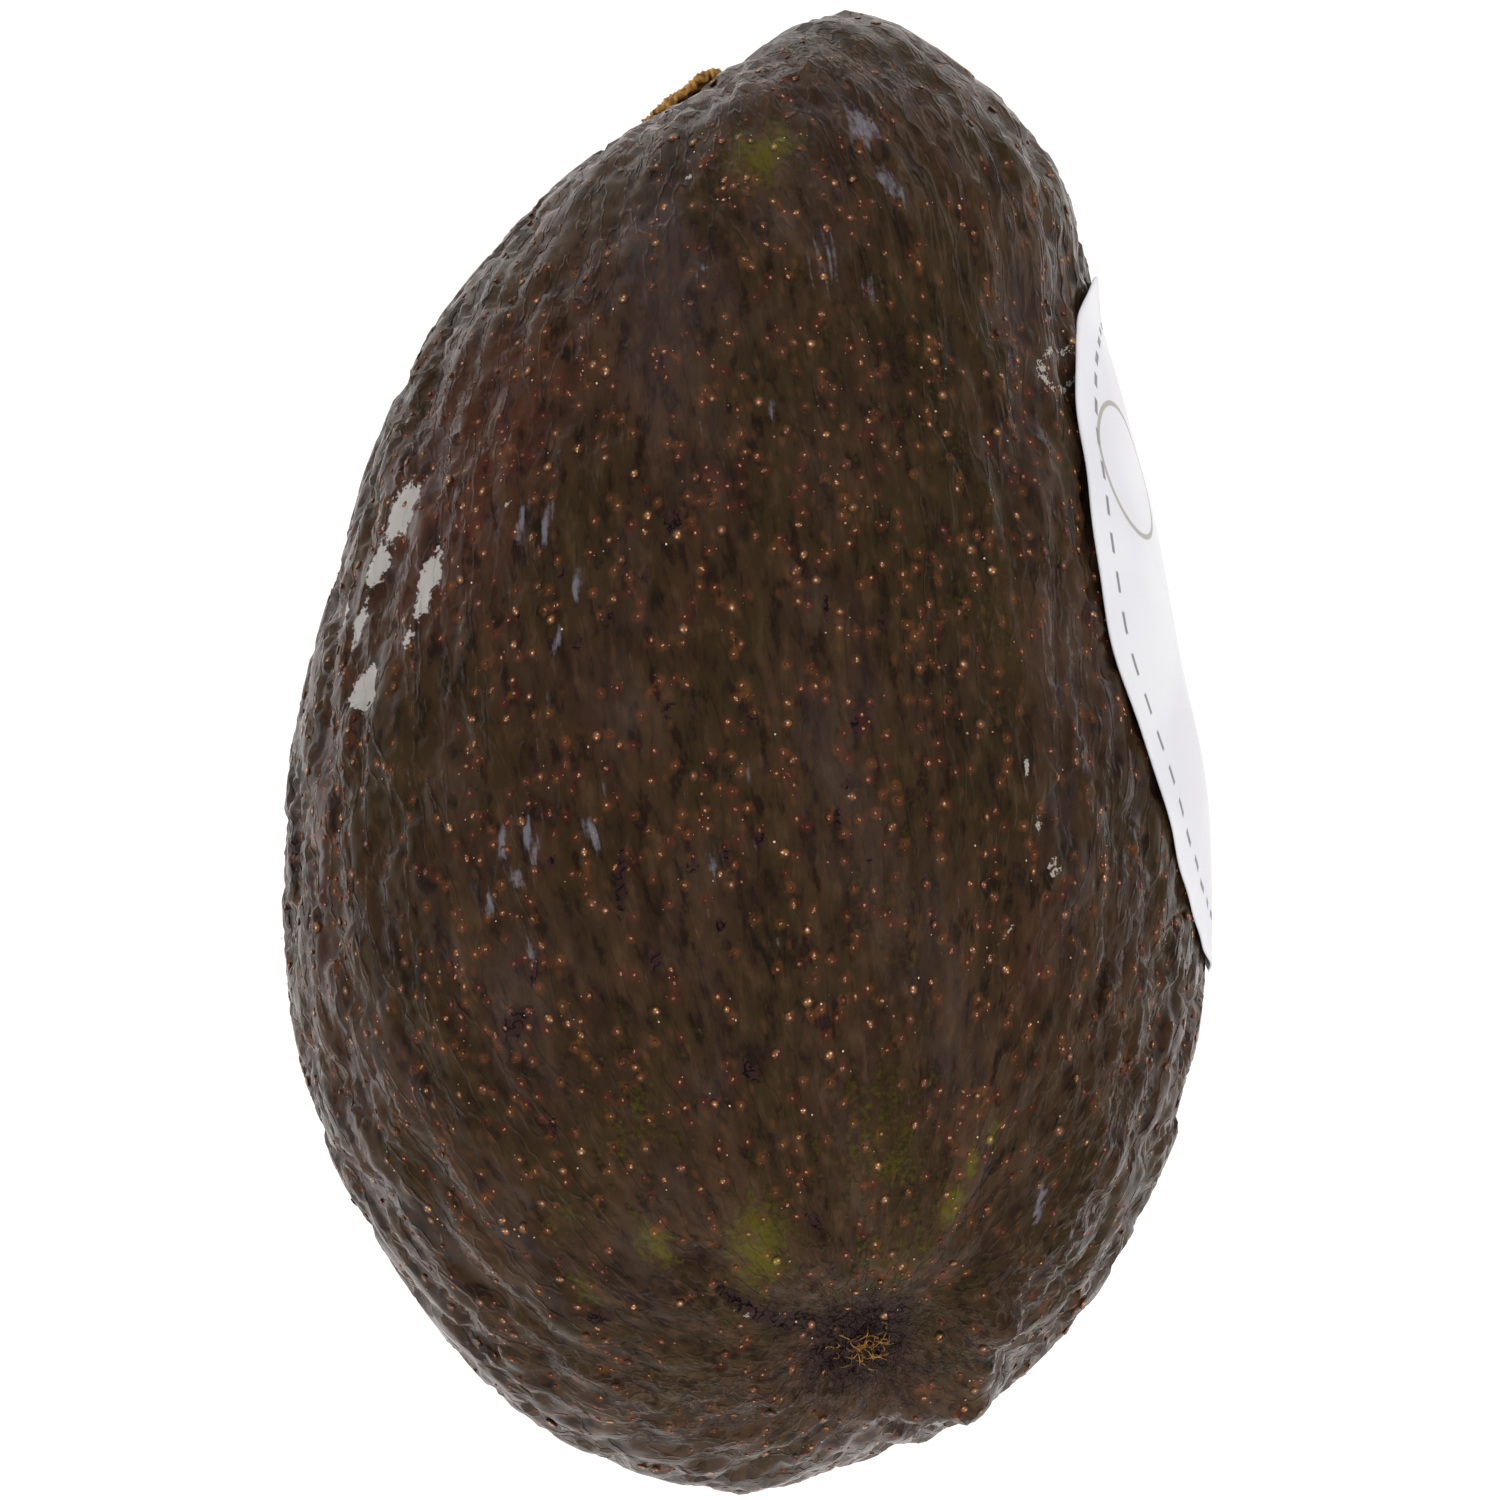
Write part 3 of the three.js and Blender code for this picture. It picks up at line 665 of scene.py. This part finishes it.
def living_colour(graph, place):
    """Brown to olive skin, redder on one flank, green in patches and rusty round the lenticels."""
    flow = graph.mask("flow", "Vector")
    mottle = graph.noise(flow, (4, 4, 9), detail=5, roughness=0.6)
    patch = graph.noise(flow, (9, 9, 16), detail=4, roughness=0.6)
    fine = graph.noise(place, 0.45, detail=3, roughness=0.6)
    colour = graph.mix(mottle.rise(0.3, 0.7), srgb(48, 33, 23), srgb(69, 50, 34))
    colour = graph.mix(patch.rise(0.45, 0.6) * 0.7, colour, srgb(51, 41, 22))
    red = (graph.mask("red") * (0.5 + mottle)).rise(0.1, 0.9)
    colour = graph.mix(red * 0.7, colour, srgb(78, 44, 34))
    vein = graph.noise(flow, (1.3, 1.3, 2.8), detail=4, roughness=0.6)
    colour = graph.mix(vein.rise(0.5, 0.66) * 0.8, colour, srgb(28, 19, 17))
    colour = graph.mix((1 - vein).rise(0.52, 0.7) * 0.45, colour, srgb(86, 64, 45))
    green = (graph.mask("green") + (fine - 0.5) * 1.3 + (vein - 0.5) * 1.6).rise(0.25, 1.2)
    colour = graph.mix(green * 0.8, colour, srgb(92, 86, 16))
    colour = graph.mix((1 - patch).rise(0.5, 0.7) * 0.1, colour, srgb(112, 104, 106))
    # Painted shade: the skin is darker in the grooves between the pebbles.
    colour = graph.mix((1 - graph.mask("dome")) * 0.2, colour, srgb(48, 36, 34))

    # Faint spots under the skin, some rusty, some dark red, some not there at all
    steps = graph.scaled(flow, (1.15, 1.15, 1.7))
    away = graph.cells(steps)
    near_spot = 1 - (away + (fine - 0.5) * 0.35).rise(0.08, 0.36)
    chance = graph.node("ShaderNodeSeparateColor", {}, {"Color": away.other("Color")}, 0)
    faint = near_spot * chance.rise(0.4, 0.9) * (0.4 + fine)
    tints = graph.mix(chance.rise(0.6, 0.65), srgb(84, 44, 34), srgb(104, 66, 36))
    colour = graph.mix(faint * 0.4, colour, tints)
    stain = (graph.mask("spot") + (fine - 0.5) * 0.9).rise(0.25, 1) * (0.4 + mottle)
    kind = graph.noise(flow, (1.6, 1.6, 2.4), detail=0).rise(0.42, 0.58)
    return graph.mix(stain * 0.52, colour, graph.mix(kind, srgb(92, 40, 32), srgb(120, 70, 36)))


def skin_material():
    """Waxy brown skin over its living colour: scabs, scratches, and painted highlights and sheens on
    wax and pleats.
    """
    material, graph, shader = new_material("avocado_skin")
    place = graph.own_place()
    flow = graph.mask("flow", "Vector")
    fine = graph.noise(place, 0.45, detail=3, roughness=0.6)
    grain = graph.noise(place, 0.16, detail=2)
    streak = graph.noise(flow, (0.5, 0.5, 6), detail=3)
    dome = graph.mask("dome")
    colour = living_colour(graph, place)
    folds = ridges(graph, flow, (2.3, 2.3, 8), 0.045)
    # Fine ridges along the pleats: raised in the bump and painted pale along their crests as
    # highlights.
    pleat_lines_and_highlights = ridges(graph, flow, (1.3, 1.3, 9), 0.06) * graph.mask("pleated")
    colour = graph.mix(pleat_lines_and_highlights * 0.22, colour, srgb(130, 114, 102))
    scar = (graph.mask("scar") + (streak - 0.5) * 0.6).rise(0.25, 0.75)
    colour = graph.mix(scar * 0.85, colour, srgb(48, 35, 34))
    scab = (graph.mask("scab") + (fine - 0.5) * 1.2).rise(0.35, 0.65)
    colour = graph.mix(scab * 0.75, colour, srgb(50, 28, 32))
    cracks = ridges(graph, place, 0.9, 0.05) * (scab + scar)
    colour = graph.mix(cracks, colour, srgb(16, 11, 12))
    # Painted highlight: scuffed wax painted pale where light glints off it, partly real rubbing.
    wax_highlight = (graph.mask("wax_highlight") + (fine - 0.5) * 1.2 - (dome - 0.5) * 0.25).rise(0.36, 0.5)
    colour = graph.mix(wax_highlight * 0.9, colour, srgb(186, 181, 176))
    scratch = (graph.mask("scratch") + (fine - 0.5) * 1.8 + (grain - 0.5)).rise(0.6, 0.75)
    colour = graph.mix(scratch * 0.75, colour, srgb(184, 176, 166))
    # Painted sheen: bluish streaks of reflected light.
    painted_sheen = (graph.mask("painted_sheen") + (streak - 0.5) * 1.6 + (fine - 0.5) * 0.6).rise(0.3, 0.85)
    colour = graph.mix(painted_sheen * 0.6, colour, srgb(132, 130, 140))

    roughness = 0.22 + (fine - 0.5) * 0.12 + scab * 0.2 + scar * 0.25
    height = grain * 0.05 + fine * 0.08 + (folds * 0.6 + pleat_lines_and_highlights) * (1 - graph.mask("at_foot"))
    height = height - cracks * 0.8
    surface = {
        "Base Color": colour,
        "Roughness": roughness,
        "Normal": bump(graph, height, 0.12 * MM),
        "IOR": 1.46,
        "Specular IOR Level": 0.23,
    }
    feed(graph, shader, surface)
    return material


skin_sizes = {
    "Pebble height": 0.42 * MM,
    "Grain height": 0.07 * MM,
    "Swell height": 0.7 * MM,
    "Crease depth": 0.14 * MM,
    "Pleat height": 0.4 * MM,
    "Lenticel spacing": 0.8 * MM,
    "Lenticel size": 0.85 * MM,
    "Seed": 4,
}
avocado_skin = skin_material()
pebbled_skin = skin_tree({**skin_sizes, "Give the lenticels": False, "Material": avocado_skin})
skin = grown("skin", base, pebbled_skin, {**skin_sizes, "Material": avocado_skin})
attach(skin, "root")
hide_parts("fruit")


# Lenticels
# The corky breathing pores of the skin: small raised dots, rust to orange, and yellow-green where
# the skin is green. They grow out of the skin, and the tree that raised it sows them.
def lenticel_material():
    material, graph, shader = new_material("lenticel_cork")
    place = graph.own_place()
    fine = graph.noise(place, 0.2, detail=2)
    tint, tip = graph.mask("tint"), graph.mask("tip")
    rust = graph.mix(tint, srgb(80, 34, 30), srgb(168, 112, 58))
    green = graph.mask("green").rise(0.3, 0.8)
    rust = graph.mix(green * 0.8, rust, srgb(140, 122, 36))
    # The grains are pale cork, and their pale colour also stands for the caps' tiny glints: partly
    # painted highlights.
    pale = graph.mix(tint, srgb(196, 112, 92), srgb(255, 218, 190))
    pale = graph.mix(green * 0.7, pale, srgb(206, 190, 90))
    colour = graph.mix((tip + (fine - 0.5) * 0.5).rise(0.05, 0.9), living_colour(graph, place), rust)
    colour = graph.mix(tip.rise(1.4, 1.6) * (0.5 + tint * 0.5), colour, pale)
    surface = {"Base Color": colour, "Roughness": 0.34 + fine * 0.1, "Specular IOR Level": 0.4}
    feed(graph, shader, surface)
    return material


lenticel_cork = lenticel_material()
sown = {**skin_sizes, "Give the lenticels": True, "Material": lenticel_cork}
lenticels = grown("lenticels", base, pebbled_skin, sown)
bpy.data.objects.remove(base)
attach(lenticels, "root")


# Scar fibres
# Dry yellow-brown threads left by the flower, lying loose in the hollow at the blossom end. Each is
# a bent tube that follows the skin under it.
FIBRES = 44
FIBRE_RADIUS = 0.042 * MM
FIBRE_STEPS = 7
FIBRE_SIDES = 5


def fibre_paths(ground):
    """The middle lines of the threads, laid on the skin round the scar."""
    draw = np.random.default_rng(11)
    centre = in_frame(scar_place[None])[0]
    paths = []
    for _ in range(FIBRES):
        turn, curl = draw.normal(0, 0.8), draw.normal(0, 0.4)
        place = centre[:2] + draw.normal(0, (1.1 * MM, 0.55 * MM)) - (0.8 * MM, -0.5 * MM)
        step, lift = draw.uniform(0.1, 0.28) * MM, draw.uniform(0.1, 0.5) * MM
        path = []
        for i in range(FIBRE_STEPS):
            spot, normal = ground.ray_cast((*place, 0.1), (0, 0, -1))[:2]
            raised = 0.06 * MM + lift * math.sin(math.pi * i / (FIBRE_STEPS - 1)) ** 2
            path.append(np.array(spot + normal * raised))
            place = place + np.array((math.cos(turn), math.sin(turn))) * step
            turn += curl
        paths.append(path)
    return paths


def fibre_mesh(paths):
    """Closed tubes that taper to both ends."""
    points, faces = [], []
    for path in paths:
        start = len(points)
        for i, middle in enumerate(path):
            way = unit(path[min(i + 1, len(path) - 1)] - path[max(i - 1, 0)])
            side = unit(np.cross(way, (0.1, 0.2, 1)))
            up = np.cross(side, way)
            radius = FIBRE_RADIUS * (0.45 + 0.55 * math.sin(math.pi * i / (len(path) - 1)))
            for a in np.arange(FIBRE_SIDES) / FIBRE_SIDES * 2 * math.pi:
                points.append(middle + (side * math.cos(a) + up * math.sin(a)) * radius)
        for i in range(len(path) - 1):
            ring = start + i * FIBRE_SIDES
            for a in range(FIBRE_SIDES):
                b = (a + 1) % FIBRE_SIDES
                faces.append([ring + a, ring + b, ring + FIBRE_SIDES + b, ring + FIBRE_SIDES + a])
        last = start + (len(path) - 1) * FIBRE_SIDES
        faces.append([start + a for a in reversed(range(FIBRE_SIDES))])
        faces.append([last + a for a in range(FIBRE_SIDES)])
    return points, faces


def fibre_material():
    material, graph, shader = new_material("dry_fibre")
    place = graph.own_place()
    fine = graph.noise(place, 0.4, detail=3)
    colour = graph.mix(fine.rise(0.35, 0.65), srgb(84, 52, 22), srgb(168, 122, 58))
    feed(graph, shader, {"Base Color": colour, "Roughness": 0.6 + fine * 0.2})
    return material


finished_skin = [vertex.co for vertex in skin.data.vertices]
ground = BVHTree.FromPolygons(finished_skin, [face.vertices for face in skin.data.polygons])
fibres = make_piece("scar_fibres", *fibre_mesh(fibre_paths(ground)))
fibres.data.materials.append(fibre_material())
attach(fibres, "root")


# Stem button
# The dried stump of the stalk: a rough disc of golden brown cork that sits in a seat of puckered
# skin beside the neck's summit. Its face is broken into grains.
BUTTON_RADIUS = 3.6 * MM
BUTTON_SHIFT = np.array((0.25, 0, 0)) * MM
BUTTON_OVALITY = 1.1
BUTTON_UNDER = 0.75 * MM
BUTTON_PROUD = 1.85 * MM
BUTTON_WEAR = 0.6 * MM


def across_directions(way):
    """Two level directions across a direction from the core: down and round, and along the fruit."""
    along = unit(np.array((0, 1, 0)) - way * way[1])
    return unit(np.cross(along, way)), along


def normals_of(surface, ways):
    """The outward normal of a surface that is given by its directions from the core."""
    step = 0.02
    side = unit(np.cross(ways, (0.31, 0.17, 0.93)))
    other = np.cross(ways, side)
    first = surface(unit(ways + side * step)) - surface(unit(ways - side * step))
    second = surface(unit(ways + other * step)) - surface(unit(ways - other * step))
    normals = unit(np.cross(first, second))
    return normals * np.sign((normals * ways).sum(axis=1))[:, None]


def walk(surface, starts, way, distances):
    """The directions of the places reached by walking over a surface, one distance each."""
    steps = 24
    for _ in range(steps):
        normals = normals_of(surface, starts)
        level = unit(way - normals * (normals @ way)[:, None])
        starts = unit(surface(starts) + level * (distances / steps)[:, None])
    return starts


def oval_on_skin(name, centre, half_width, half_length, rings, segments, under, over):
    """An oval sheet on the smooth skin, whose two faces lie at given heights over it, closed."""
    across, along = across_directions(centre)
    shares = np.repeat(np.linspace(0, 1, rings + 1)[1:], segments)
    angles = np.tile(np.arange(segments) / segments * 2 * math.pi, rings)
    shares, angles = np.append(0, shares), np.append(0, angles)
    starts = np.tile(centre, (len(shares), 1))
    starts = walk(smooth_skin, starts, along, np.sin(angles) * shares * half_length)
    ends = walk(smooth_skin, starts, across, np.cos(angles) * shares * half_width)
    points, normals = smooth_skin(ends), normals_of(smooth_skin, ends)
    layers = [points + normals * rise(shares, angles)[:, None] for rise in (over, under)]
    count = len(shares)
    around = np.arange(segments)
    after = (around + 1) % segments
    faces = []
    for turned, start in ((False, 0), (True, count)):
        layer = [[start, start + 1 + a, start + 1 + b] for a, b in zip(around, after)]
        for ring in range(rings - 1):
            inner = start + 1 + ring * segments
            outer = inner + segments
            layer += [[inner + a, outer + a, outer + b, inner + b] for a, b in zip(around, after)]
        faces += [face[::-1] if turned else face for face in layer]
    rim = 1 + (rings - 1) * segments
    faces += [[rim + b, rim + a, count + rim + a, count + rim + b] for a, b in zip(around, after)]
    mesh = bpy.data.meshes.new(name)
    mesh.from_pydata(in_frame(np.concatenate(layers)).tolist(), [], faces)
    flat = np.stack([np.cos(angles) * shares, np.sin(angles) * shares], axis=1)
    flat = np.concatenate([flat, flat])
    corners = np.array([loop.vertex_index for loop in mesh.loops])
    mesh.uv_layers.new(name="oval").data.foreach_set("uv", flat[corners].ravel())
    mesh.polygons.foreach_set("use_smooth", [True] * len(mesh.polygons))
    if normal_points_in(mesh.polygons[segments // 2]):
        mesh.flip_normals()
    piece = bpy.data.objects.new(name, mesh)
    bpy.context.scene.collection.objects.link(piece)
    return piece


def normal_points_in(face):
    """Whether a face of a sheet's outer layer looks back at the core."""
    return float(np.dot(face.normal, np.array(face.center) - CORE_PLACE)) < 0


def button_tree(settings):
    """Breaks the cork into grains."""
    graph, given = geometry_tree("cork_grains", settings)
    here = graph.node("GeometryNodeInputPosition")
    grains = graph.cells(graph.scaled(here, 0.4))
    lumps = graph.noise(here, 1.5, detail=3)
    raised = (0.5 - grains) * given["Grain height"] + (lumps - 0.5) * given["Lump height"]
    cork = graph.stored(raised_by(graph, given["Geometry"], raised), "grains", grains)
    return finish_tree(graph, cork, given["Material"])


def cork_material():
    material, graph, shader = new_material("stem_cork")
    place = graph.own_place()
    fine = graph.noise(place, 0.3, detail=4, roughness=0.7)
    grains = graph.mask("grains")
    colour = graph.mix(fine.rise(0.3, 0.7), srgb(164, 106, 38), srgb(236, 184, 98))
    colour = graph.mix(grains.rise(0.35, 0.75) * 0.85, colour, srgb(70, 40, 14))
    normal = bump(graph, fine, 0.12 * MM, 0.8)
    feed(graph, shader, {"Base Color": colour, "Roughness": 0.85 + fine * 0.1, "Normal": normal})
    return material


button_base = oval_on_skin(
    "button_base",
    unit(stem_place + BUTTON_SHIFT),
    BUTTON_RADIUS,
    BUTTON_RADIUS * BUTTON_OVALITY,
    rings=26,
    segments=96,
    under=lambda shares, angles: np.full(len(shares), BUTTON_UNDER),
    over=lambda shares, angles: BUTTON_PROUD - BUTTON_WEAR * shares**4,
)
cork_sizes = {"Grain height": 0.55 * MM, "Lump height": 0.7 * MM}
cork_inputs = {**cork_sizes, "Material": cork_material()}
stem_button = grown("stem_button_cork", button_base, button_tree(cork_inputs), cork_inputs)
bpy.data.objects.remove(button_base)
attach(stem_button, "root")
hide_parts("stem_button")


# Label
# A large oval of coated white paper, glued on the right flank, where it bridges the pebbles and
# its edge lifts a little. Its print is a plain ring and a row of dashes along the edge.
LABEL_ALONG = 14 * MM
LABEL_TURN = math.radians(2)
LABEL_WIDTH, LABEL_LENGTH = 34 * MM, 51.7 * MM
LABEL_CLEAR = 0.5 * MM
PAPER = 0.14 * MM


def label_rise(shares, angles):
    """How far the paper's back stands off the skin: it lifts at its edge and wrinkles at one end."""
    lift = 0.16 * MM * shares**6 * (1 + np.sin(7 * angles + 1.3) * 0.7 + np.sin(17 * angles) * 0.4)
    wrinkle = np.exp(-(((angles - 4.4) / 0.5) ** 2)) * np.sin(angles * 26 + shares * 9) * shares**2
    return LABEL_CLEAR + lift + wrinkle * 0.07 * MM


def paper_material():
    material, graph, shader = new_material("label_paper")
    place = graph.own_place()
    print_place = graph.node("ShaderNodeUVMap", {"uv_map": "oval"}, {}, "UV")
    fibre = graph.noise(place, 0.35, detail=4, roughness=0.65)
    soft = graph.noise(place, 9, detail=1)
    paper = graph.mix(soft.rise(0.3, 0.7), srgb(226, 225, 231), srgb(236, 236, 240))

    # A row of dashes follows the edge, and a plain ring stands further in
    across = graph.node("ShaderNodeSeparateXYZ", {}, {"Vector": print_place}, "X")
    along = across.other("Y")
    out = (across * across + along * along) ** 0.5
    round_way = along.math("ARCTAN2", across)
    in_row = 1 - (out - 0.86).math("ABSOLUTE").rise(0.008, 0.014)
    dashes = (round_way * 46).math("SINE").rise(-0.3, 0.1) * in_row
    ring_x, ring_y = across + 0.42, (along - 0.42) * (LABEL_LENGTH / LABEL_WIDTH)
    ring_out = (ring_x * ring_x + ring_y * ring_y) ** 0.5
    ring = 1 - (ring_out - 0.3).math("ABSOLUTE").rise(0.008, 0.016)
    colour = graph.mix(dashes * 0.8, paper, srgb(84, 84, 88))
    colour = graph.mix(ring * 0.8, colour, srgb(150, 148, 132))
    surface = {
        "Base Color": colour,
        "Roughness": 0.5 + (fibre - 0.5) * 0.2,
        "Normal": bump(graph, fibre, 0.03 * MM, 0.4),
    }
    feed(graph, shader, surface)
    return material


label_out = outline_radius(PLAN_OUTLINE)(math.pi / 2)
label_way = np.array((math.cos(LABEL_TURN) * label_out, LABEL_ALONG, math.sin(LABEL_TURN) * label_out))
label = oval_on_skin(
    "paper_label",
    unit(label_way),
    LABEL_WIDTH / 2,
    LABEL_LENGTH / 2,
    rings=40,
    segments=220,
    under=label_rise,
    over=lambda shares, angles: label_rise(shares, angles) + PAPER,
)
label.data.materials.append(paper_material())
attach(label, "root")
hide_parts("label")


# Studio
# A plain pale floor under the fruit, soft panels of light all round it and a camera straight above.
CAMERA_HEIGHT = 1.5
GIRTH_HEIGHT = 0.033  # the outline that the photograph shows lies about this high
FRAME_WIDTH = 0.10965  # what the picture takes in at that height
SENSOR = 36
GLOW_REACH = (0.075, 0.13)  # from its middle outwards the bright floor fades to grey here
SHADE_REACH = (0.014, 0.044)  # and inwards to shade here, under the fruit
SHADE_OVAL = (1.5, 1, 1)  # the shade is an oval, narrower across the fruit than along it
# Soft walls of light: the side that each stands on, degrees round from the stem end, and watts
WALLS = [("stem", 0, 5.5), ("right", 90, 4.5), ("blossom", 180, 9), ("left", 270, 3.5)]
TENT_HALF, TENT_HEIGHT = 0.75, 0.8
TOP_PANEL_SIZE, TOP_PANEL_HEIGHT, TOP_PANEL_WATTS = 2, 1.7, 13

floor_size = 3
floor_points = [(x * floor_size, y * floor_size, 0) for x, y in ((-1, -1), (1, -1), (1, 1), (-1, 1))]
floor = make_piece("studio_floor", floor_points, [(0, 1, 2, 3)])
floor_paint, floor_graph, floor_shader = new_material("pale_floor")
floor_place = floor_graph.own_place()
floor_away = floor_graph.vector("LENGTH", floor_place, (0, 0, 0)).rise(*GLOW_REACH)
floor_colour = floor_graph.mix(floor_away, (0.4, 0.4, 0.4, 1), (0.3, 0.3, 0.3, 1))
floor_glow = floor_graph.mix(floor_away, (0.84, 0.79, 0.77, 1), (0.15, 0.15, 0.15, 1))
floor_oval = floor_graph.vector("MULTIPLY", floor_place, SHADE_OVAL)
floor_open = floor_graph.vector("LENGTH", floor_oval, (0, 0, 0)).rise(*SHADE_REACH)
floor_glow = floor_graph.mix(floor_open, (0.06, 0.06, 0.06, 1), floor_glow)
feed(floor_graph, floor_shader, {"Base Color": floor_colour, "Roughness": 0.9})
feed(floor_graph, floor_shader, {"Emission Color": floor_glow, "Emission Strength": 1.0})
floor.data.materials.append(floor_paint)


def soft_wall(name, degrees, watts):
    """An upright panel of soft light that faces the fruit."""
    data = bpy.data.lights.new(name, "AREA")
    data.shape = "RECTANGLE"
    data.size, data.size_y = 2 * TENT_HALF, TENT_HEIGHT
    data.energy = watts
    turn = math.radians(degrees)
    way = Vector((math.sin(turn), math.cos(turn), 0))
    wall = bpy.data.objects.new(name, data)
    wall.location = way * TENT_HALF + Vector((0, 0, TENT_HEIGHT / 2))
    wall.rotation_euler = way.to_track_quat("Z", "Y").to_euler()
    wall.visible_glossy = False
    bpy.context.scene.collection.objects.link(wall)


for name, degrees, watts in WALLS:
    soft_wall(f"wall_{name}", degrees, watts)

top_data = bpy.data.lights.new("top_panel", "AREA")
top_data.size = TOP_PANEL_SIZE
top_data.energy = TOP_PANEL_WATTS
top_panel = bpy.data.objects.new("top_panel", top_data)
top_panel.location = (0, 0, TOP_PANEL_HEIGHT)
top_panel.visible_glossy = False
bpy.context.scene.collection.objects.link(top_panel)

world = bpy.data.worlds.new("studio_air")
world.use_nodes = True
world.node_tree.nodes["Background"].inputs["Color"].default_value = (1, 1, 1, 1)
world.node_tree.nodes["Background"].inputs["Strength"].default_value = 0.03
bpy.context.scene.world = world
bpy.context.scene.view_settings.view_transform = "Standard"

camera_data = bpy.data.cameras.new("camera")
camera_data.sensor_width = SENSOR
camera_data.lens = SENSOR * (CAMERA_HEIGHT - GIRTH_HEIGHT) / FRAME_WIDTH
camera_data.clip_start, camera_data.clip_end = 0.1, 10
camera = bpy.data.objects.new("camera", camera_data)
camera.location = (0, 0, CAMERA_HEIGHT)
bpy.context.scene.collection.objects.link(camera)
bpy.context.scene.camera = camera
